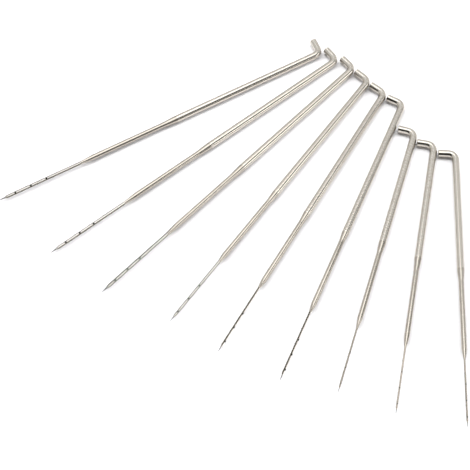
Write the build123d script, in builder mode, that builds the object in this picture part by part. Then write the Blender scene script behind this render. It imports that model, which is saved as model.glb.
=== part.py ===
from build123d import *
from dataclasses import dataclass
from math import cos, radians, sin, tan
import os

os.makedirs("parts", exist_ok=True)

# A set of nine felting needles, three each of three grades, laid out as a fan.
# Each needle is one steel wire: crank, bend, shank, cone, neck, fishtail, blade, point.
# Lengths are in millimetres and angles in degrees.

# Wire of the shank and crank, the same for every needle
shank_diameter = 1.83
shank_radius = shank_diameter / 2
crank_reach = 5.13  # far side of the shank to the sheared end of the crank
bend_radius = 1.85  # middle of the wire, round the bend
bend_spans = 5  # short straight spans that make up the bend

# Coarse needles
coarse_length = 91.0  # outside of the crank to the tip
coarse_shank_length = 41.9  # outside of the crank to the cone
coarse_cone_length = 3.8
coarse_neck_diameter = 1.34
coarse_fishtail_length = 3.5  # round neck to three-sided blade
coarse_blade_length = 22.5  # end of the fishtail to the tip
coarse_blade_circle = 0.92  # diameter round the blade's three edges
coarse_point_length = 2.6
coarse_first_barb = 4.8  # tip to the nearest barb
coarse_barb_pitch = 4.22  # from barb to barb along one edge

# Medium needles
medium_length = 86.5
medium_shank_length = 42.2
medium_cone_length = 2.6
medium_neck_diameter = 1.33
medium_fishtail_length = 2.4
medium_blade_length = 20.2
medium_blade_circle = 0.74
medium_point_length = 2.3
medium_first_barb = 3.4
medium_barb_pitch = 4.37

# Fine needles
fine_length = 78.0
fine_shank_length = 34.7
fine_cone_length = 3.3
fine_neck_diameter = 1.3
fine_fishtail_length = 3.0
fine_blade_length = 18.1
fine_blade_circle = 0.56
fine_point_length = 2.0
fine_first_barb = 2.8
fine_barb_pitch = 4.36

# Blade: three flats pressed into the round wire, with barbs cut in its edges
blade_edges = 3
barbs_per_edge = 3
edge_turn = 360 / blade_edges
seam_turn = edge_turn / 8  # from an edge to where the round wire starts and ends
flat_share = 0.555  # axis to a flat, of the blade circle's radius
tip_radius = 0.03
point_swell_share = 0.66  # radius half way along the point, of the blade circle's radius

# Barb, in shares of the blade circle's radius
barb_depth_share = 0.2
throat_length_share = 1.3
overhang_share = 0.08

# Lay of the fan, from the far left needle to the far right one
lay_gap = 0.15  # between a crank's end and the needle it lies against
headings = (30, 40, 47.6, 55.7, 61.5, 68.75, 74.65, 81.15, 89.5)
bend_angles = (97.5, 94.5, 98.0, 99.5, 101.0, 98.5, 90.5, 92.5, 92.0)
blade_rolls = (30, 24, 28, 22, 52, 46, 34, 12, 16)
# Where each later crank ends against the needle before it: along that needle from its
# bend in shank diameters, and out from its middle in shank radii with the gap
rest_along_shares = (-1.08, -0.82, 0.14, 0.37, 0.4, 4.09, 1.51, 1.25)
rest_side_shares = (-0.15, 0.45, 1.04, 1.08, 1.17, 1.38, 1.11, 1.15)

crank_length = crank_reach - shank_radius  # middle of the shank to the crank's end


@dataclass
class Grade:
    length: float
    shank_length: float
    cone_length: float
    neck_diameter: float
    fishtail_length: float
    blade_length: float
    blade_circle: float
    point_length: float
    first_barb: float
    barb_pitch: float


coarse = Grade(
    length=coarse_length,
    shank_length=coarse_shank_length,
    cone_length=coarse_cone_length,
    neck_diameter=coarse_neck_diameter,
    fishtail_length=coarse_fishtail_length,
    blade_length=coarse_blade_length,
    blade_circle=coarse_blade_circle,
    point_length=coarse_point_length,
    first_barb=coarse_first_barb,
    barb_pitch=coarse_barb_pitch,
)
medium = Grade(
    length=medium_length,
    shank_length=medium_shank_length,
    cone_length=medium_cone_length,
    neck_diameter=medium_neck_diameter,
    fishtail_length=medium_fishtail_length,
    blade_length=medium_blade_length,
    blade_circle=medium_blade_circle,
    point_length=medium_point_length,
    first_barb=medium_first_barb,
    barb_pitch=medium_barb_pitch,
)
fine = Grade(
    length=fine_length,
    shank_length=fine_shank_length,
    cone_length=fine_cone_length,
    neck_diameter=fine_neck_diameter,
    fishtail_length=fine_fishtail_length,
    blade_length=fine_blade_length,
    blade_circle=fine_blade_circle,
    point_length=fine_point_length,
    first_barb=fine_first_barb,
    barb_pitch=fine_barb_pitch,
)
grades = (coarse, coarse, coarse, medium, medium, medium, fine, fine, fine)


def tipward(heading):
    """Level direction from a needle's bend to its tip."""
    return Vector(-cos(radians(heading)), -sin(radians(heading)), 0)


def crankward(heading, bend_angle):
    """Level direction from a needle's bend to the end of its crank."""
    return tipward(heading).rotate(Axis.Z, -bend_angle)


def bed_plane(corner, heading):
    """Level plane through a needle's axis: origin at the corner of its bend, X to the tip."""
    return Plane(origin=corner, x_dir=tipward(heading), z_dir=Axis.Z.direction)


def cross_plane(bed, lean):
    """Plane square to a needle, X leaning that far from straight up, away from the crank."""
    outward = bed.z_dir.rotate(Axis((0, 0, 0), bed.x_dir), -lean)
    return Plane(origin=bed.origin, x_dir=outward, z_dir=bed.x_dir)


def side_plane(bed, lean):
    """Plane along a needle, X to the tip and Y leaning that far from straight up."""
    outward = cross_plane(bed, lean).x_dir
    return Plane(origin=bed.origin, x_dir=bed.x_dir, z_dir=bed.x_dir.cross(outward))


def bend_plane(bed, bend_tangent, turn):
    """Plane square to the wire, that far round the bend from the shank to the crank."""
    bend_middle = bed.from_local_coords(Vector(bend_tangent, -bend_radius, 0))
    outward = bed.y_dir.rotate(Axis.Z, turn)
    return Plane(
        origin=bend_middle + outward * bend_radius,
        x_dir=bed.z_dir,
        z_dir=bed.x_dir.rotate(Axis.Z, turn),
    )


def press_outline(flat_distance, edge_distance):
    """Corners of the press form's section: three flats with a narrow edge between each two."""
    across = (flat_distance - edge_distance / 2) / sin(radians(edge_turn / 2))
    corners = []
    for edge in range(blade_edges):
        middle = Vector(edge_distance, 0).rotate(Axis.Z, edge * edge_turn)
        side = Vector(0, across).rotate(Axis.Z, edge * edge_turn)
        corners += [middle - side, middle + side]
    return corners


def lay_corners():
    """Bend corners of the fan, each crank's end resting by the needle before it."""
    corners = [Vector(0, 0, shank_radius)]
    places = zip(headings, headings[1:], bend_angles[1:], rest_along_shares, rest_side_shares)
    for before, heading, bend_angle, along_share, side_share in places:
        along = along_share * shank_diameter
        side = side_share * (shank_radius + lay_gap)
        crank_end = bed_plane(corners[-1], before).from_local_coords(Vector(along, side, 0))
        corners.append(crank_end - crankward(heading, bend_angle) * crank_length)
    return corners


def fan_middle(corners):
    """Middle of the fan's box, level with the table."""
    lefts, rights, fronts, backs = [], [], [], []
    for corner, heading, bend_angle, grade in zip(corners, headings, bend_angles, grades):
        tip = corner + tipward(heading) * (grade.length - shank_radius)
        crank = crankward(heading, bend_angle)
        crank_end = corner + crank * crank_length
        lefts.append(tip.X - tip_radius)
        fronts.append(tip.Y - tip_radius)
        rights.append(corner.X + shank_radius * abs(tipward(heading).Y))
        backs.append(crank_end.Y + shank_radius * abs(crank.X))
    return Vector((min(lefts) + max(rights)) / 2, (min(fronts) + max(backs)) / 2, 0)


def make_needle(grade, corner, heading, bend_angle, roll):
    """One needle, lying with its shank and crank on the table."""
    bed = bed_plane(corner, heading)
    cross = cross_plane(bed, roll)
    crank_cross = Plane(origin=corner, x_dir=bed.z_dir, z_dir=crankward(heading, bend_angle))

    # Stations along the axis, from the corner of the bend
    bend_tangent = bend_radius / tan(radians(bend_angle / 2))
    shank_end = grade.shank_length - shank_radius
    cone_end = shank_end + grade.cone_length
    tip = grade.length - shank_radius
    blade_start = tip - grade.blade_length
    point_start = tip - grade.point_length
    point_middle = (point_start + tip) / 2

    neck_radius = grade.neck_diameter / 2
    blade_radius = grade.blade_circle / 2
    flat_depth = flat_share * blade_radius

    # Press form: its stations, and there the axis to the flats and the axis to the edges.
    # Flats and edges flare out of the blade and leave the round neck within the fishtail.
    flat_slope = (neck_radius - flat_depth) / grade.fishtail_length
    edge_slope = (neck_radius - blade_radius) / grade.fishtail_length
    flare_length = (shank_diameter - flat_depth) / flat_slope
    flare_radius = blade_radius + edge_slope * flare_length
    press_form = (
        (0, shank_diameter, shank_diameter),
        (blade_start - flare_length, shank_diameter, flare_radius),
        (blade_start, flat_depth, blade_radius),
        (point_start, flat_depth, blade_radius),
        (point_middle, point_swell_share * flat_depth, point_swell_share * blade_radius),
        (tip, flat_share * tip_radius, tip_radius),
    )

    # Barb profile
    barb_depth = barb_depth_share * blade_radius
    throat_length = throat_length_share * blade_radius
    overhang = overhang_share * blade_radius
    throat_root = blade_radius - barb_depth
    throat_top = blade_radius + barb_depth

    with BuildPart() as needle:
        # Round wire, drawn down from the shank to the neck
        round_wire = cross_plane(bed, roll + seam_turn)
        with BuildSketch(round_wire.offset(bend_tangent)):
            Circle(shank_radius)
        extrude(amount=shank_end - bend_tangent)
        with BuildSketch(round_wire.offset(shank_end)):
            Circle(shank_radius)
        with BuildSketch(round_wire.offset(cone_end)):
            Circle(neck_radius)
        loft(ruled=True)
        with BuildSketch(round_wire.offset(cone_end)):
            Circle(neck_radius)
        extrude(amount=tip - cone_end)

        # Blade and point: three flats and three narrow edges, running out in the neck
        for station, flat_distance, edge_distance in press_form:
            with BuildSketch(cross.offset(station)):
                with BuildLine():
                    Polyline(*press_outline(flat_distance, edge_distance), close=True)
                make_face()
        loft(ruled=True, mode=Mode.INTERSECT)

        # Barbs, stepped back evenly from edge to edge
        for edge in range(blade_edges):
            edge_side = side_plane(bed, roll + edge * edge_turn)
            for row in range(barbs_per_edge):
                step = (row + edge / blade_edges) * grade.barb_pitch
                root = tip - grade.first_barb - step
                with BuildSketch(edge_side):
                    with BuildLine():
                        Polyline(
                            (root, throat_root),
                            (root + 2 * overhang, throat_top),
                            (root + 2 * throat_length, throat_top),
                            close=True,
                        )
                    make_face()
                extrude(amount=blade_radius, both=True, mode=Mode.SUBTRACT)

        # Bend and crank
        for span_end in range(bend_spans + 1):
            turn = (180 - bend_angle) * span_end / bend_spans
            with BuildSketch(bend_plane(bed, bend_tangent, turn)):
                Circle(shank_radius)
        loft(ruled=True)
        with BuildSketch(crank_cross.offset(bend_tangent)):
            Circle(shank_radius)
        extrude(amount=crank_length - bend_tangent)
    return needle.part


corners = lay_corners()
middle = fan_middle(corners)
for number, corner in enumerate(corners):
    needle = make_needle(
        grades[number],
        corner - middle,
        headings[number],
        bend_angles[number],
        blade_rolls[number],
    )
    needle.label = f"needle_{number + 1}"
    export_step(needle, f"parts/{needle.label}.step")
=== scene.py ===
# %% [markdown]
# # A fan of nine felting needles
#
# A felting needle is one piece of steel wire. Its shank is bent over at the back into a
# short crank, and towards the front it is drawn down in steps: a cone, a thin neck, a
# fishtail and a three-sided blade with tiny barbs cut in its edges. Nine of them lie on
# a white table, three of each grade, and each crank reaches to the needle before it.
#
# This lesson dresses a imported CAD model. The CAD gives the places and the motion, and
# Blender gives the finer shape of each needle, its finish and the light.

import bpy
import bmesh
from math import atan2, cos, hypot, pi, radians, sin, tan
from mathutils import Matrix, Vector


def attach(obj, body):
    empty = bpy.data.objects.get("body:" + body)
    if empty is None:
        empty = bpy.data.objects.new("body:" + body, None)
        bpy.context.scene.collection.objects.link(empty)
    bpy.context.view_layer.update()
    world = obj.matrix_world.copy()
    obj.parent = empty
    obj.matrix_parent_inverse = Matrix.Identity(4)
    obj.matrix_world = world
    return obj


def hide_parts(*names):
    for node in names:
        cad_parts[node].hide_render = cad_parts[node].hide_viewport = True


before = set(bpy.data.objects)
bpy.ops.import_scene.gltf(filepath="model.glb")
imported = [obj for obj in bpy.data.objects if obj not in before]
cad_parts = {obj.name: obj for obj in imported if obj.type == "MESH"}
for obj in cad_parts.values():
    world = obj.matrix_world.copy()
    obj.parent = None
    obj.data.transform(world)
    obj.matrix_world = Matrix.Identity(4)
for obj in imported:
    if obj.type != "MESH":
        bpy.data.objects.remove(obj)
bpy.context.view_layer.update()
scene = bpy.context.scene
MM = 0.001
print("needles in the frame:", sorted(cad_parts))

# %% [markdown]
# ## Camera
#
# The picture looks down on the table at a little over 55 degrees, from far away and
# through a long lens, which is why the nine wires look almost equally thick. The camera
# comes first, because everything after it is judged through it. It needs only a place,
# one tilt and a focal length, so these three are written as plain numbers.

# %% Set up the camera
LENS_MM = 214.3
SENSOR_MM = 36.0
CAMERA_TILT = 34.609  # degrees up from looking straight down
CAMERA_PLACE = Vector((1.196, -381.55, 549.38)) * MM
NEAREST, FARTHEST = 0.05, 50.0  # metres

lens = bpy.data.cameras.new("long_lens")
lens.lens = LENS_MM
lens.sensor_width = SENSOR_MM
lens.clip_start, lens.clip_end = NEAREST, FARTHEST
camera = bpy.data.objects.new("camera", lens)
camera.location = CAMERA_PLACE
camera.rotation_euler = (radians(CAMERA_TILT), 0, 0)
scene.collection.objects.link(camera)
scene.camera = camera
print("camera is", round(CAMERA_PLACE.length, 3), "m from the middle of the table")

# %% [markdown]
# ## Nodes and colours
#
# Materials are built from nodes. One helper adds any node, with its settings and links,
# and one turns the hex colours that people read off a screen into the linear light that
# Blender reckons with.

# %% Helpers for materials
def linear(hex_colour):
    """An sRGB hex colour as linear red, green, blue and alpha."""
    channels = [int(hex_colour[i:i + 2], 16) / 255 for i in (1, 3, 5)]
    return [c / 12.92 if c <= 0.04045 else ((c + 0.055) / 1.055) ** 2.4 for c in channels] + [1.0]


def add_node(tree, kind, settings=None, **inputs):
    """Adds a node. Settings are its own options, and inputs are sockets: values or links.

    A socket is named with _ for a space, or in_ and its number where names repeat.
    """
    node = tree.nodes.new(kind)
    for name, value in (settings or {}).items():
        setattr(node, name, value)
    for name, value in inputs.items():
        if name.startswith("in_"):
            socket = node.inputs[int(name[3:])]
        else:
            socket = node.inputs[name.replace("_", " ")]
        if isinstance(value, bpy.types.NodeSocket):
            tree.links.new(value, socket)
        else:
            socket.default_value = value
    return node


def new_material(name):
    """An empty node material and its output node."""
    material = bpy.data.materials.new(name)
    material.use_nodes = True
    material.node_tree.nodes.clear()
    output = add_node(material.node_tree, "ShaderNodeOutputMaterial")
    return material, material.node_tree, output


WHITE = linear("#FFFFFF")
print("white is", WHITE[:3], "and mid grey", round(linear("#808080")[0], 3))

# %% [markdown]
# ## Table
#
# The needles lie on a plain white table that fades into a white room. A real studio gets
# this with a sheet of matt white acrylic. The sheet is a diffuse white, so it takes the
# soft shadows. It is topped up with a little light of its own, but only for the camera
# and for reflections, so it reads as pure white without more light on the needles. The
# Light Path node tells which kind of ray asks.

# %% White acrylic
TABLE_GLOW = 0.05


def looked_at(tree):
    """1 where the camera, a reflection or a view through glass asks, and 0 for light."""
    path = add_node(tree, "ShaderNodeLightPath")
    asks = path.outputs["Is Camera Ray"]
    for kind in ("Is Glossy Ray", "Is Transmission Ray"):
        asks = add_node(tree, "ShaderNodeMath", {"operation": "MAXIMUM"},
                        in_0=asks, in_1=path.outputs[kind]).outputs[0]
    return asks


acrylic, tree, output = new_material("matt_white_acrylic")
glow = add_node(tree, "ShaderNodeMath", {"operation": "MULTIPLY"},
                in_0=looked_at(tree), in_1=TABLE_GLOW)
sheet = add_node(tree, "ShaderNodeBsdfDiffuse", Color=linear("#F4F3F5"))
lit = add_node(tree, "ShaderNodeEmission", Color=WHITE, Strength=glow.outputs[0])
both = add_node(tree, "ShaderNodeAddShader", in_0=sheet.outputs[0], in_1=lit.outputs[0])
tree.links.new(both.outputs[0], output.inputs["Surface"])
print("acrylic adds", TABLE_GLOW, "of its own light where it is looked at")

# %% [markdown]
# ## From a bmesh to an object
#
# Every shape here is made as a bmesh and handed over once it is finished. The object
# stays at the origin, and its place is in its mesh. The table is the first: one flat
# square, so wide that it fills the camera's view.

# %% Table
TABLE_HALF = 3.0  # metres


def finish_mesh(bm, name, materials):
    """Turns a bmesh into an object at the origin, with these materials."""
    mesh = bpy.data.meshes.new(name)
    bm.to_mesh(mesh)
    bm.free()
    for material in materials:
        mesh.materials.append(material)
    thing = bpy.data.objects.new(name, mesh)
    scene.collection.objects.link(thing)
    return thing


bm = bmesh.new()
bmesh.ops.create_grid(bm, x_segments=1, y_segments=1, size=TABLE_HALF)
table = finish_mesh(bm, "table", [acrylic])
print("table is", table.dimensions.x, "m wide")

# %% [markdown]
# ## Lamps
#
# Bare metal shows what stands round it more than it shows its own colour. So the light
# and the reflections are kept apart here, and each can be set by itself. Three wide soft
# lamps light the table, one from above and one from each side. With light from so many
# sides a thin wire drops only a faint shadow. The metal doesn't see these lamps.

# %% Lamps
# Where the lamp hangs (degrees round from the right, degrees up), how far, its size, and
# its power in watts
LAMPS = {
    "top_softbox": (82, 70, 1.05, (0.95, 0.60), 9.0),
    "left_wall": (146, 36, 1.30, (1.60, 1.00), 16.0),
    "right_wall": (20, 32, 1.30, (1.20, 0.70), 13.0),
}


def aim(azimuth, height, distance):
    """A place in that direction from the middle of the table."""
    turn, lift = radians(azimuth), radians(height)
    return Vector((cos(turn) * cos(lift), sin(turn) * cos(lift), sin(lift))) * distance


for name, (azimuth, height, distance, size, power) in LAMPS.items():
    lamp = bpy.data.lights.new(name, "AREA")
    lamp.shape = "RECTANGLE"
    lamp.size, lamp.size_y = size
    lamp.energy = power
    hung = bpy.data.objects.new(name, lamp)
    hung.location = aim(azimuth, height, distance)
    hung.rotation_mode = "QUATERNION"
    hung.rotation_quaternion = hung.location.to_track_quat("Z", "Y")
    hung.visible_glossy = False
    hung.visible_camera = False
    scene.collection.objects.link(hung)
print(len(LAMPS), "soft lamps hung")

# %% [markdown]
# ## Room
#
# The room is plain white to the eye. As a source of light it is almost dark, and gives
# only a little fill, so that the lamps shape the shadows.

# %% Room
FILL_STRENGTH = 0.03

room = bpy.data.worlds.new("white_room")
room.use_nodes = True
tree = room.node_tree
tree.nodes.clear()
level = add_node(tree, "ShaderNodeMapRange", Value=looked_at(tree), To_Min=FILL_STRENGTH, To_Max=1.0)
walls = add_node(tree, "ShaderNodeBackground", Color=WHITE, Strength=level.outputs[0])
add_node(tree, "ShaderNodeOutputWorld", Surface=walls.outputs[0])
scene.world = room
scene.view_settings.view_transform = "Standard"
print("room is white to the eye and fills with", FILL_STRENGTH)

# %% [markdown]
# ## Cards
#
# What the metal does see is a ring of flat cards. They stand for a bright window on the
# right, pale walls at the back and left, and the dark side where the camera stands. A
# wire is a round mirror, so each band across its width shows another card, and the low
# dark ones give it dark rims against the white table. Only reflections see the cards,
# and they light nothing.

# %% Cards for the metal to reflect
CARD_DISTANCE = 1.2  # metres
# Where it stands (degrees round from the right), how wide, from and to which height in
# degrees, and how bright
CARDS = {
    "right_window": (351, 42, 12, 34, 2.4),
    "right_low": (0, 80, 0, 12, 0.03),
    "right_top": (3, 66, 34, 64, 0.03),
    "right": (16, 16, 12, 37, 0.55),
    "back_right": (35, 22, 8, 50, 0.85),
    "back": (87, 82, 9, 62, 0.80),
    "back_low": (105, 130, 0, 9, 0.12),
    "back_left": (142, 30, 9, 62, 0.80),
    "left": (176, 40, 3, 62, 0.75),
    "front_left": (222, 54, 0, 68, 0.03),
    "front": (272, 50, 0, 78, 0.03),
    "front_right": (314, 36, 0, 68, 0.25),
}
# The softbox as the metal sees it: its middle and size in metres, and how bright
TOP_CARD = (0.07, 0.155, 1.0), (0.90, 0.79), 2.20


def hang_card(name, centre, size, brightness):
    """A flat card that only reflections see, facing the needles."""
    card_material, tree, output = new_material(name + "_card")
    shine = add_node(tree, "ShaderNodeEmission", Color=WHITE, Strength=brightness)
    tree.links.new(shine.outputs[0], output.inputs["Surface"])
    centre = Vector(centre)
    bm = bmesh.new()
    bmesh.ops.create_grid(bm, x_segments=1, y_segments=1, size=0.5)
    bmesh.ops.scale(bm, vec=(size[0], size[1], 1), verts=bm.verts)
    turn = centre.to_track_quat("Z", "Y").to_matrix().to_4x4()
    bmesh.ops.transform(bm, matrix=Matrix.Translation(centre) @ turn, verts=bm.verts)
    card = finish_mesh(bm, name, [card_material])
    card.visible_camera = False
    card.visible_diffuse = False
    card.visible_shadow = False
    return card


for name, (azimuth, width, low, high, brightness) in CARDS.items():
    centre = aim(azimuth, (low + high) / 2, CARD_DISTANCE)
    wide = 2 * hypot(centre.x, centre.y) * tan(radians(width / 2))
    tall = 2 * CARD_DISTANCE * tan(radians((high - low) / 2))
    hang_card(name, centre, (wide, tall), brightness)
hang_card("top_card", *TOP_CARD)
print(len(CARDS) + 1, "cards hung")

# %% [markdown]
# ## Grinding marks
#
# The wire is ground before it is plated, and the plating is so thin that the grinding
# still shows: faint lines wind round the shank, and they smear reflections along the
# wire. Two sets of sine lines on the wire's own UV map give them. A whole number of
# lines side by side closes the seam.

# %% Lines that wind round the wire
MARK_STARTS = (8, 13)  # lines side by side
MARK_LEADS = (4.2, 4.6)  # millimetres along the wire in one turn


def grinding_marks(tree, uv):
    """Height of the lines that wind round a ground wire, from its own UV map.

    The real lines are a few hundredths of a millimetre apart. They are drawn 0.3 to 0.4
    mm apart, as coarse as they need to be to show.
    """
    along, around = add_node(tree, "ShaderNodeSeparateXYZ", Vector=uv).outputs[:2]
    total = None
    for starts, lead in zip(MARK_STARTS, MARK_LEADS):
        wound = add_node(tree, "ShaderNodeMath", {"operation": "MULTIPLY"},
                         in_0=along, in_1=2 * pi * starts / lead)
        turned = add_node(tree, "ShaderNodeMath", {"operation": "MULTIPLY"},
                          in_0=around, in_1=2 * pi * starts)
        phase = add_node(tree, "ShaderNodeMath", {"operation": "ADD"},
                         in_0=wound.outputs[0], in_1=turned.outputs[0])
        line = add_node(tree, "ShaderNodeMath", {"operation": "SINE"}, in_0=phase.outputs[0]).outputs[0]
        if total is None:
            total = line
        else:
            total = add_node(tree, "ShaderNodeMath", {"operation": "ADD"},
                             in_0=total, in_1=line).outputs[0]
    return total


print("grinding lines are", [round(lead / starts, 2) for starts, lead in zip(MARK_STARTS, MARK_LEADS)],
      "mm apart along the wire")

# %% [markdown]
# ## Nickel plating
#
# Felting needles are carbon steel wire with a bright nickel plating, and nickel is a
# warm white metal. A thin plating is never quite even, so soft clouds shift its tone and
# its height a little. It also takes on the surface under it, and shows the lines where
# the wire was ground. Every finish of a needle is this one recipe, with its own colours,
# roughness and bump, because all of them are steel wire.

# %% One recipe for all finishes
CLOUD_SCALE = 700.0  # clouds in the plating about 1.4 mm across
CLOUD_DETAIL = 3.0
CLOUD_BLEND, CLOUD_SHIFT = 0.5, 0.25  # how much of the tone the clouds change
MARK_HEIGHT, MARK_BLEND = 0.5, 0.4  # how much the lines raise the surface and change its tone
BUMP_STRENGTH = 0.35


def nickel(name, light_hex, dark_hex, roughness, anisotropy, bump_height, marks=False):
    """Nickel plating or bare steel on a wire. The bump's height is in millimetres."""
    material, tree, output = new_material(name)
    uv = add_node(tree, "ShaderNodeUVMap", {"uv_map": "wire"})
    place = add_node(tree, "ShaderNodeTexCoord")
    cloud = add_node(tree, "ShaderNodeTexNoise", Vector=place.outputs["Object"],
                     Scale=CLOUD_SCALE, Detail=CLOUD_DETAIL)
    height = cloud.outputs[0]
    blend = add_node(tree, "ShaderNodeMath", {"operation": "MULTIPLY_ADD"},
                     in_0=cloud.outputs[0], in_1=CLOUD_BLEND, in_2=CLOUD_SHIFT).outputs[0]
    if marks:
        lines = grinding_marks(tree, uv.outputs[0])
        height = add_node(tree, "ShaderNodeMath", {"operation": "MULTIPLY_ADD"},
                          in_0=lines, in_1=MARK_HEIGHT, in_2=height).outputs[0]
        blend = add_node(tree, "ShaderNodeMath", {"operation": "MULTIPLY_ADD"},
                         in_0=lines, in_1=MARK_BLEND, in_2=blend).outputs[0]
    tone = add_node(tree, "ShaderNodeMix", {"data_type": "RGBA"},
                    in_0=blend, in_6=linear(dark_hex), in_7=linear(light_hex))
    bump = add_node(tree, "ShaderNodeBump", Height=height, Strength=BUMP_STRENGTH,
                    Distance=bump_height * MM)
    along = add_node(tree, "ShaderNodeTangent", {"direction_type": "UV_MAP", "uv_map": "wire"})
    metal = add_node(tree, "ShaderNodeBsdfPrincipled", Base_Color=tone.outputs[2], Metallic=1.0,
                     Roughness=roughness, Anisotropic=anisotropy, Normal=bump.outputs[0],
                     Tangent=along.outputs[0])
    tree.links.new(metal.outputs[0], output.inputs["Surface"])
    return material


print("plating is mottled every", round(1 / CLOUD_SCALE / MM, 1), "mm")

# %% [markdown]
# ## Finishes
#
# How each length of the wire was worked is what the eye reads. It is ground along the
# shank, smooth where dies swaged it and dull on the pressed flats, which also get a
# painted shade for the shaded table they reflect. The blade's edges get a nearly white
# painted highlight. The point is ground on a stone. The barbs get a near black painted
# shade for the shade in their notches, and the end cut by the shears is bare torn steel.

# %% The finishes of one needle
# Ground and plated: a warm white sheen with faint winding lines, smeared along the wire
ground_wire = nickel("ground_nickel_plated_wire", "#E4DFD6", "#BDB6AB", 0.17, 0.3, 0.012, marks=True)
# Swaged between hammering dies and plated: the same sheen, a little greyer and without lines
swaged_wire = nickel("swaged_nickel_plated_wire", "#CFC9BE", "#A9A298", 0.17, 0.2, 0.006)
# Pressed between dies: dull flats with a painted shade, a darker grey for the shaded table
# they reflect, which draws dark lines beside the painted highlight on the edges
flats_painted_shade = nickel("die_pressed_painted_shade_flats", "#7F786D", "#5F5950", 0.24, 0.1, 0.006)
# Pressed on the finest wire: so narrow that flats and edges blend to one pale grey
fine_flats = nickel("die_pressed_fine_blade", "#C4BDB2", "#A8A196", 0.26, 0.1, 0.006)
# A painted highlight: a nearly white line along each edge, soft because the edge is round
edge_painted_highlight = nickel("edge_painted_highlight", "#FFFDF8", "#F2EDE4", 0.40, 0.0, 0.004)
# Ground on a stone: dark and matt, so the last millimetres read as a thin dark line
ground_point = nickel("stone_ground_point", "#4E4942", "#37332E", 0.34, 0.0, 0.006)
# Painted shade in the barbs: near black, for the shade that falls in each notch, so that
# each barb reads as a dark mark
barb_painted_shade = nickel("barb_painted_shade", "#1C1A17", "#12100E", 0.45, 0.0, 0.01)
# Torn by the shears: a dull grey end face
sheared_steel = nickel("sheared_steel", "#9A948A", "#6E685F", 0.45, 0.0, 0.02)

FINISHES = [ground_wire, swaged_wire, flats_painted_shade, fine_flats, edge_painted_highlight, ground_point,
            barb_painted_shade, sheared_steel]
print(len(FINISHES), "finishes on one wire")

# %% [markdown]
# ## Sizes
#
# These are the CAD source's own sizes, in millimetres and degrees, so each dressed
# needle fills its CAD solid. Only the blade differs: its edges lie up to 0.06 mm further
# in than the solid's and its flats up to 0.05 mm further out, which makes it rounder, and
# its barbs have longer throats. Each grade has its length, its shank and the steps of its
# front. Along a needle, x is measured from the corner of its bend towards the tip.

# %% Sizes of the wire and the three grades
SHANK_RADIUS = 1.83 / 2
CRANK_LENGTH = 5.13 - SHANK_RADIUS
BEND_RADIUS = 1.85
FLAT_SHARE = 0.76  # from the axis to a flat, as a share of the blade circle's radius
TIP_RADIUS = 0.03

GRADE_WORDS = ("length", "shank", "cone", "neck", "fishtail", "blade", "circle", "point",
               "first_barb", "pitch", "throat")
GRADES = {
    "coarse": dict(zip(GRADE_WORDS, (91.0, 41.9, 3.8, 1.34, 3.5, 22.5, 0.80, 2.6, 4.8, 4.22, 0.76))),
    "medium": dict(zip(GRADE_WORDS, (86.5, 42.2, 2.6, 1.33, 2.4, 20.2, 0.65, 2.3, 3.4, 4.37, 0.78))),
    "fine": dict(zip(GRADE_WORDS, (78.0, 34.7, 3.3, 1.30, 3.0, 18.1, 0.50, 2.0, 2.8, 4.36, 0.50))),
}
EDGES = 3
BARBS_PER_EDGE = 3
print("grades and lengths in mm:", {name: grade["length"] for name, grade in GRADES.items()})

# %% [markdown]
# ## The lay of the fan
#
# Each needle after the first is placed from the one before it: its crank ends close to
# that needle's bend or shank. The whole fan is then centred on the table.

# %% Where each needle lies
ORDER = ("coarse",) * 3 + ("medium",) * 3 + ("fine",) * 3
# In degrees: how each needle points, the corner between its shank and its crank, and how
# its blade is rolled
HEADINGS = (30, 40, 47.6, 55.7, 61.5, 68.75, 74.65, 81.15, 89.5)
BENDS = (97.5, 94.5, 98.0, 99.5, 101.0, 98.5, 90.5, 92.5, 92.0)
ROLLS = (30, 24, 28, 22, 52, 46, 34, 12, 16)
# Where a crank ends by the needle before it: along that needle in shank diameters, and
# to its side in steps of a shank radius and a gap
REST_ALONG = (-1.08, -0.82, 0.14, 0.37, 0.4, 4.09, 1.51, 1.25)
REST_SIDE = (-0.15, 0.45, 1.04, 1.08, 1.17, 1.38, 1.11, 1.15)
LAY_GAP = 0.15  # millimetres


def tipward(heading):
    """Level direction from a needle's bend to its tip."""
    return Vector((-cos(radians(heading)), -sin(radians(heading)), 0))


def sideward(heading):
    """Level direction to a needle's side, away from its crank."""
    return Vector((sin(radians(heading)), -cos(radians(heading)), 0))


def crankward(heading, bend):
    """Level direction from a needle's bend along its crank."""
    return Matrix.Rotation(radians(-bend), 3, "Z") @ tipward(heading)


corners = [Vector((0, 0, SHANK_RADIUS))]
for n in range(len(ORDER) - 1):
    end = corners[n] + tipward(HEADINGS[n]) * REST_ALONG[n] * 2 * SHANK_RADIUS
    end += sideward(HEADINGS[n]) * REST_SIDE[n] * (SHANK_RADIUS + LAY_GAP)
    corners.append(end - crankward(HEADINGS[n + 1], BENDS[n + 1]) * CRANK_LENGTH)

spans = []
for n, corner in enumerate(corners):
    tip = corner + tipward(HEADINGS[n]) * (GRADES[ORDER[n]]["length"] - SHANK_RADIUS)
    crank = crankward(HEADINGS[n], BENDS[n])
    crank_end = corner + crank * CRANK_LENGTH
    spans.append((tip.x - TIP_RADIUS, corner.x + SHANK_RADIUS * abs(tipward(HEADINGS[n]).y),
                  tip.y - TIP_RADIUS, crank_end.y + SHANK_RADIUS * abs(crank.x)))
lefts, rights, fronts, backs = zip(*spans)
middle = Vector(((min(lefts) + max(rights)) / 2, (min(fronts) + max(backs)) / 2, 0))
print("fan middle:", [round(c, 3) for c in middle])

# %% [markdown]
# ## Places along a needle
#
# A needle changes its form at a few places along the wire, and every step below looks
# them up here. The rows of barbs on the three edges are staggered by a third of a pitch,
# so no place along the blade is notched on more than one edge.

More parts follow.
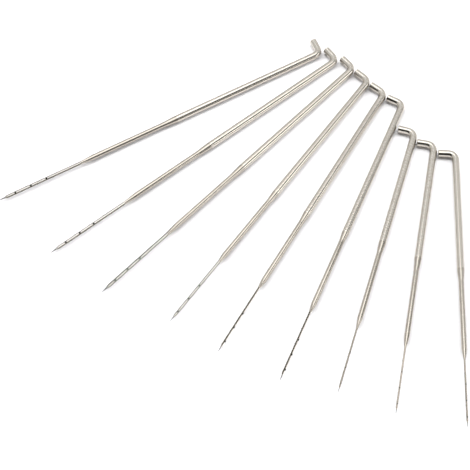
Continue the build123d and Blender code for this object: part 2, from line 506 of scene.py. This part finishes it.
# %% Places along a needle
def stations(grade):
    """Places along the needle where its form changes."""
    tip = grade["length"] - SHANK_RADIUS
    shank_end = grade["shank"] - SHANK_RADIUS
    blade_start = tip - grade["blade"]
    return {
        "shank_end": shank_end,
        "cone_end": shank_end + grade["cone"],
        "fishtail_start": blade_start - grade["fishtail"],
        "blade_start": blade_start,
        "point_start": tip - grade["point"],
        "tip": tip,
    }


def barb_roots(grade):
    """The steep wall of each barb: its place along the needle and its edge."""
    tip = grade["length"] - SHANK_RADIUS
    return [
        (tip - grade["first_barb"] - (row + edge / EDGES) * grade["pitch"], edge)
        for edge in range(EDGES)
        for row in range(BARBS_PER_EDGE)
    ]


def edge_way(roll, edge):
    """Direction from the axis to one of the blade's edges."""
    turn = radians(roll + edge * 360 / EDGES)
    return Vector((0, sin(turn), cos(turn)))


print("barbs on a coarse needle:", [round(root, 2) for root, _ in barb_roots(GRADES["coarse"])])

# %% [markdown]
# ## Turning the wire
#
# The front of a needle is round wire drawn down in steps, so it starts as a turned
# shape: a row of points along the wire is spun once round its axis. The steps between
# shank, cone and neck are soft on a drawn wire, so their rings are bevelled. The row has
# extra points where barbs and the point will be shaped later.

# %% Spin the wire
SAME_PLACE = 1e-4  # millimetres within which two places along the wire are the same
MERGE = 1e-5  # millimetres within which two points become one
RING = 48
SOFT_STEP = 0.5  # millimetres each side of a step
SOFT_SEGMENTS = 4
FISHTAIL_RINGS = 12
POINT_RINGS = 14
POINT_RUN = 0.99  # share of the point that its rings take, before they close at the tip
# A barb's places along the wire: its steep wall in millimetres, the middle of its throat
# as a share of the throat, its kick-up in blade radii, and the kick-up's middle as a share
WALL = 0.015
THROAT_MIDDLE = 0.62
KICK_LENGTH, KICK_MIDDLE = 1.2, 0.4


def rings_in(bm, place):
    """The edges of the ring at a place along the wire."""
    return [e for e in bm.edges if all(abs(v.co.x - place) < SAME_PLACE for v in e.verts)]


def spin_wire(grade, bend_tangent, roll):
    """The straight part of the wire, from the bend to the tip, still round all over."""
    at = stations(grade)
    neck, edge = grade["neck"] / 2, grade["circle"] / 2
    profile = [(bend_tangent, SHANK_RADIUS), (at["shank_end"], SHANK_RADIUS), (at["cone_end"], neck)]
    for step in range(FISHTAIL_RINGS + 1):
        share = step / FISHTAIL_RINGS
        profile.append((at["fishtail_start"] + share * grade["fishtail"], neck + share * (edge - neck)))
    cuts = []
    for root, _ in barb_roots(grade):
        cuts += [root - KICK_LENGTH * edge, root - KICK_LENGTH * edge * KICK_MIDDLE, root,
                 root + WALL, root + grade["throat"] * THROAT_MIDDLE, root + grade["throat"]]
    profile += [(cut, edge) for cut in sorted(cuts)]
    for step in range(POINT_RINGS + 1):
        profile.append((at["point_start"] + step / POINT_RINGS * grade["point"] * POINT_RUN, edge))
    profile.append((at["tip"], 0))

    bm = bmesh.new()
    up = edge_way(roll, 0)
    row = [bm.verts.new(Vector((x, 0, 0)) + up * r) for x, r in profile]
    for a, b in zip(row, row[1:]):
        bm.edges.new((a, b))
    bmesh.ops.spin(bm, geom=bm.verts[:] + bm.edges[:], cent=(0, 0, 0), axis=(1, 0, 0),
                   angle=2 * pi, steps=RING, use_merge=True)
    bmesh.ops.remove_doubles(bm, verts=bm.verts, dist=MERGE)
    for place in (at["shank_end"], at["cone_end"]):
        bmesh.ops.bevel(bm, geom=rings_in(bm, place), offset=SOFT_STEP, offset_type="OFFSET",
                        affect="EDGES", segments=SOFT_SEGMENTS, profile=0.5, material=-1)
    return bm


print("a wire is spun in", RING, "steps")

# %% [markdown]
# ## Pressing the blade
#
# Dies press three flats into the round wire. The mesh is pressed in the same way: it is
# first cut along the line where a flat meets the round, and then everything that stands
# proud of the flat is pushed down to it. In the fishtail the flat slopes, so the cut
# line runs out in a V, as it does on the real needle.

# %% Press three flats
LEAST_PROUD = 1e-6  # millimetres


def press(bm, low, high, point, normal, along):
    """Between two places along the wire, pushes what stands proud of a plane down to it."""
    low, high = low - SAME_PLACE, high + SAME_PLACE
    faces = [f for f in bm.faces if all(low < v.co.x < high for v in f.verts)]
    # The faces with their edges and corners, each of them once
    geom = list(dict.fromkeys(part for f in faces for part in (f, *f.edges, *f.verts)))
    bmesh.ops.bisect_plane(bm, geom=geom, dist=MERGE, plane_co=point, plane_no=normal)
    for v in bm.verts:
        if low < v.co.x < high:
            proud = (v.co - point).dot(normal)
            if proud > LEAST_PROUD:
                v.co -= along * (proud / along.dot(normal))


def press_blade(bm, grade, roll):
    """Presses the three flats into the fishtail and the blade."""
    at = stations(grade)
    depth = FLAT_SHARE * grade["circle"] / 2
    fall = (grade["neck"] / 2 - depth) / grade["fishtail"]
    for edge in range(EDGES):
        out = edge_way(roll + 180 / EDGES, edge)
        point = Vector((at["blade_start"], 0, 0)) + out * depth
        sloped = (out + Vector((fall, 0, 0))).normalized()
        press(bm, at["fishtail_start"], at["blade_start"], point, sloped, out)
        press(bm, at["blade_start"], at["tip"], point, out, out)


print("a coarse flat lies", round(FLAT_SHARE * GRADES["coarse"]["circle"] / 2, 3), "mm from the axis")

# %% [markdown]
# ## Barbs
#
# A barb is a small notch in an edge. Its steep wall leans towards the tip, and the steel
# that the tool pushed up stands a little proud behind it: that is the kick-up that
# catches the wool. The throat slopes back out to the edge on the side of the tip. The
# cut faces, and a little of the edge beside them, get a near black painted shade for the
# shade in the notch. They are marked here, because they are easy to find while the notch
# is fresh.

# %% Cut the barbs
# Shares of the blade circle's radius
BARB_DEPTH = 0.24
OVERHANG = 0.09
KICK_HEIGHT, KICK_HALF_WIDTH = 0.16, 0.36
KICK_MIDDLE_RISE = 0.45  # of the kick-up's height, at its middle
# The painted shade of a barb reaches a little further round the edge than its notch
PAINTED_SHADE_HALF = 44  # degrees from the middle of an edge to the sides of the cut


def cut_barb(bm, grade, root, way):
    """Cuts one notch in an edge, gives it a painted shade, and raises the steel behind its steep wall.
    """
    edge = grade["circle"] / 2
    bottom = edge * (1 - BARB_DEPTH)
    length = grade["throat"]
    slope = (edge - bottom) / (length - WALL)
    start = root + WALL
    normal = (way - Vector((slope, 0, 0))).normalized()
    press(bm, start, root + length, Vector((start, 0, 0)) + way * bottom, normal, way)
    # The faces of the notch and of the edge beside it get a near black painted shade
    for f in bm.faces:
        centre = f.calc_center_median()
        if root - SAME_PLACE < centre.x < root + length * THROAT_MIDDLE:
            centre.x = 0
            if centre.normalized().dot(way) > cos(radians(PAINTED_SHADE_HALF)):
                f.material_index = FINISHES.index(barb_painted_shade)
    kick_middle = root - KICK_LENGTH * edge * KICK_MIDDLE
    for v in bm.verts:
        level = v.co.dot(way)
        across = v.co - way * level
        across.x = 0
        if across.length < edge * KICK_HALF_WIDTH and level > 0:
            if abs(v.co.x - root) < SAME_PLACE:
                v.co += way * KICK_HEIGHT * edge + Vector((OVERHANG * edge, 0, 0))
            elif abs(v.co.x - kick_middle) < SAME_PLACE:
                v.co += way * KICK_HEIGHT * edge * KICK_MIDDLE_RISE


print("barbs are", round(BARB_DEPTH * GRADES["coarse"]["circle"] / 2, 3), "mm deep on a coarse needle")

# %% [markdown]
# ## Point
#
# The blade is ground to a point in two steps. A short shoulder brings it down to about a
# third of its width, and from there a slim point runs out to the tip. The rings keep
# their places and only shrink towards the axis, so the point keeps the three flats.

# %% Grind the point
SHOULDER_END = 0.42  # share of the point's length
SHOULDER_LOSS = 0.52  # of the blade's radius
TAPER_POWER = 1.3  # over 1, so the slim point thins faster near the tip


def grind_point(bm, grade):
    """Draws the end of the blade in towards the axis, down to the tip."""
    at = stations(grade)
    last = TIP_RADIUS / (grade["circle"] / 2)
    for v in bm.verts:
        share = (v.co.x - at["point_start"]) / (grade["point"] * POINT_RUN)
        if share > 0:
            share = min(share, 1)
            step = min(share / SHOULDER_END, 1)
            left = 1 - SHOULDER_LOSS * step ** 2 * (3 - 2 * step)
            left -= (1 - SHOULDER_LOSS - last) * share ** TAPER_POWER
            v.co.y *= left
            v.co.z *= left


print("a coarse point is", GRADES["coarse"]["point"], "mm long")

# %% [markdown]
# ## Bend and crank
#
# The back of the needle is the same round wire, bent round a small former and cut off
# with shears. The open ring at the start of the shank is spun about the middle of the
# bend, then extruded along the crank. The shears roll the last corner over, so the end
# ring is drawn in a little and then closed.

# %% Bend the wire back
BEND_STEPS = 14
SHEAR_BREAK = 0.12  # millimetres of rolled corner
# The rolled corner in three steps: share of its length, and the next ring's share of the
# width of the one before
SHEAR_STEPS = ((0.45, 0.965), (0.4, 0.93), (0.15, 0.94))


def bend_back(bm, bend, bend_tangent):
    """Bends the back of the wire, and adds the crank with its sheared end."""
    turn = radians(180 - bend)
    rim = rings_in(bm, bend_tangent)
    geom = rim + list(dict.fromkeys(v for e in rim for v in e.verts))
    spun = bmesh.ops.spin(bm, geom=geom, cent=(bend_tangent, -BEND_RADIUS, 0), axis=(0, 0, 1),
                          angle=turn, steps=BEND_STEPS, use_merge=False)
    last = spun["geom_last"]
    out = Vector((-cos(turn), -sin(turn), 0))
    runs = [(CRANK_LENGTH - bend_tangent - SHEAR_BREAK, 1)]
    runs += [(SHEAR_BREAK * share, shrink) for share, shrink in SHEAR_STEPS]
    for length, shrink in runs:
        edges = [e for e in last if isinstance(e, bmesh.types.BMEdge)]
        last = bmesh.ops.extrude_edge_only(bm, edges=edges)["geom"]
        verts = [v for v in last if isinstance(v, bmesh.types.BMVert)]
        bmesh.ops.translate(bm, vec=out * length, verts=verts)
        centre = sum((v.co for v in verts), Vector()) / len(verts)
        for v in verts:
            v.co = centre + (v.co - centre) * shrink
    edges = [e for e in last if isinstance(e, bmesh.types.BMEdge)]
    face = bmesh.ops.contextual_create(bm, geom=edges)["faces"][0]
    face.material_index = FINISHES.index(sheared_steel)


print("the bend takes", BEND_STEPS, "steps")

# %% [markdown]
# ## Finishes along the wire
#
# The shank, the bend and the crank keep the ground wire. Every face in front of them
# gets its finish from where it lies: how far along the wire, and on the blade whether it
# is near an edge or on a flat.

# %% Give each face its finish
RIDGE_HALF = 20.5  # degrees from an edge's middle to the flats beside it
POINT_DARK_FROM = 0.35  # share of the point's length


def give_finishes(bm, grade, roll):
    """Gives each face in front of the shank the finish of its place."""
    at = stations(grade)
    ridges = [edge_way(roll, edge) for edge in range(EDGES)]
    for f in bm.faces:
        centre = f.calc_center_median()
        x, centre.x = centre.x, 0
        if f.material_index or x < at["shank_end"]:
            continue
        flat = max(centre.normalized().dot(ridge) for ridge in ridges) < cos(radians(RIDGE_HALF))
        if x < at["blade_start"]:
            finish = swaged_wire
        elif x > at["point_start"] + POINT_DARK_FROM * grade["point"]:
            finish = ground_point
        elif grade is GRADES["fine"]:
            finish = fine_flats
        # Flats get a painted shade, and the edges between them a painted highlight
        elif flat:
            finish = flats_painted_shade
        else:
            finish = edge_painted_highlight
        f.material_index = FINISHES.index(finish)


print("flats start", RIDGE_HALF, "degrees from the middle of an edge")

# %% [markdown]
# ## A map along the wire
#
# The grinding marks wind round the wire and follow its bend, so each needle has its own
# UV map: millimetres along the wire, and turns round it. On the bend the place along the
# wire comes from the angle about the bend's middle.

# %% Map the wire
def wire_place(co, bend, bend_tangent):
    """Length along the wire and angle round it, for a point on a bent needle."""
    turn = radians(180 - bend)
    if co.x > bend_tangent:
        return co.x, atan2(co.y, co.z)
    reach = Vector((co.x - bend_tangent, co.y + BEND_RADIUS))
    angle = atan2(-reach.x, reach.y)
    if angle <= turn:
        return bend_tangent - BEND_RADIUS * angle, atan2(reach.length - BEND_RADIUS, co.z)
    foot = Vector((-sin(turn), cos(turn))) * BEND_RADIUS
    past = (reach - foot).dot(Vector((-cos(turn), -sin(turn))))
    out = (reach - foot).dot(foot.normalized())
    return bend_tangent - BEND_RADIUS * turn - past, atan2(out, co.z)


def map_wire(bm, bend, bend_tangent):
    """UV map: millimetres along the wire, and turns round it with the seam underneath."""
    uv = bm.loops.layers.uv.new("wire")
    for face in bm.faces:
        middle_turn = None
        for loop in face.loops:
            along, angle = wire_place(loop.vert.co, bend, bend_tangent)
            turns = angle / (2 * pi)
            if middle_turn is None:
                middle_turn = turns
            turns += round(middle_turn - turns)
            loop[uv].uv = (along, turns)


print("one turn round the shank is", round(2 * pi * SHANK_RADIUS, 2), "mm")

# %% [markdown]
# ## Nine needles
#
# One loop makes all nine from their grades: draw, press, notch, grind and bend. The bend
# comes last here, because a straight mesh is easier to work. Each needle rides on its own
# CAD body and stands for its CAD node.

# %% Make the needles
SHARP_ANGLE = 24  # degrees between faces from which an edge shades as sharp


def make_needle(n):
    """One finished needle in its place, riding on its own body."""
    grade = GRADES[ORDER[n]]
    bend, roll = BENDS[n], ROLLS[n]
    bend_tangent = BEND_RADIUS / tan(radians(bend / 2))
    bm = spin_wire(grade, bend_tangent, roll)
    press_blade(bm, grade, roll)
    for root, edge in barb_roots(grade):
        cut_barb(bm, grade, root, edge_way(roll, edge))
    grind_point(bm, grade)
    give_finishes(bm, grade, roll)
    bend_back(bm, bend, bend_tangent)
    map_wire(bm, bend, bend_tangent)
    for face in bm.faces:
        face.smooth = True
    axes = Matrix((tipward(HEADINGS[n]), sideward(HEADINGS[n]), (0, 0, 1))).transposed().to_4x4()
    place = Matrix.Scale(MM, 4) @ Matrix.Translation(corners[n] - middle) @ axes
    bmesh.ops.transform(bm, matrix=place, verts=bm.verts)
    bmesh.ops.recalc_face_normals(bm, faces=bm.faces)
    open_edges = sum(1 for e in bm.edges if len(e.link_faces) != 2)
    needle = finish_mesh(bm, f"felting_needle_{n + 1}", FINISHES)
    needle.data.set_sharp_from_angle(angle=radians(SHARP_ANGLE))
    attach(needle, f"needle_{n + 1}")
    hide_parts(f"needle_{n + 1}")
    print(needle.name, ORDER[n], len(needle.data.polygons), "faces,", open_edges, "open edges")
    return needle


needles = [make_needle(n) for n in range(len(ORDER))]
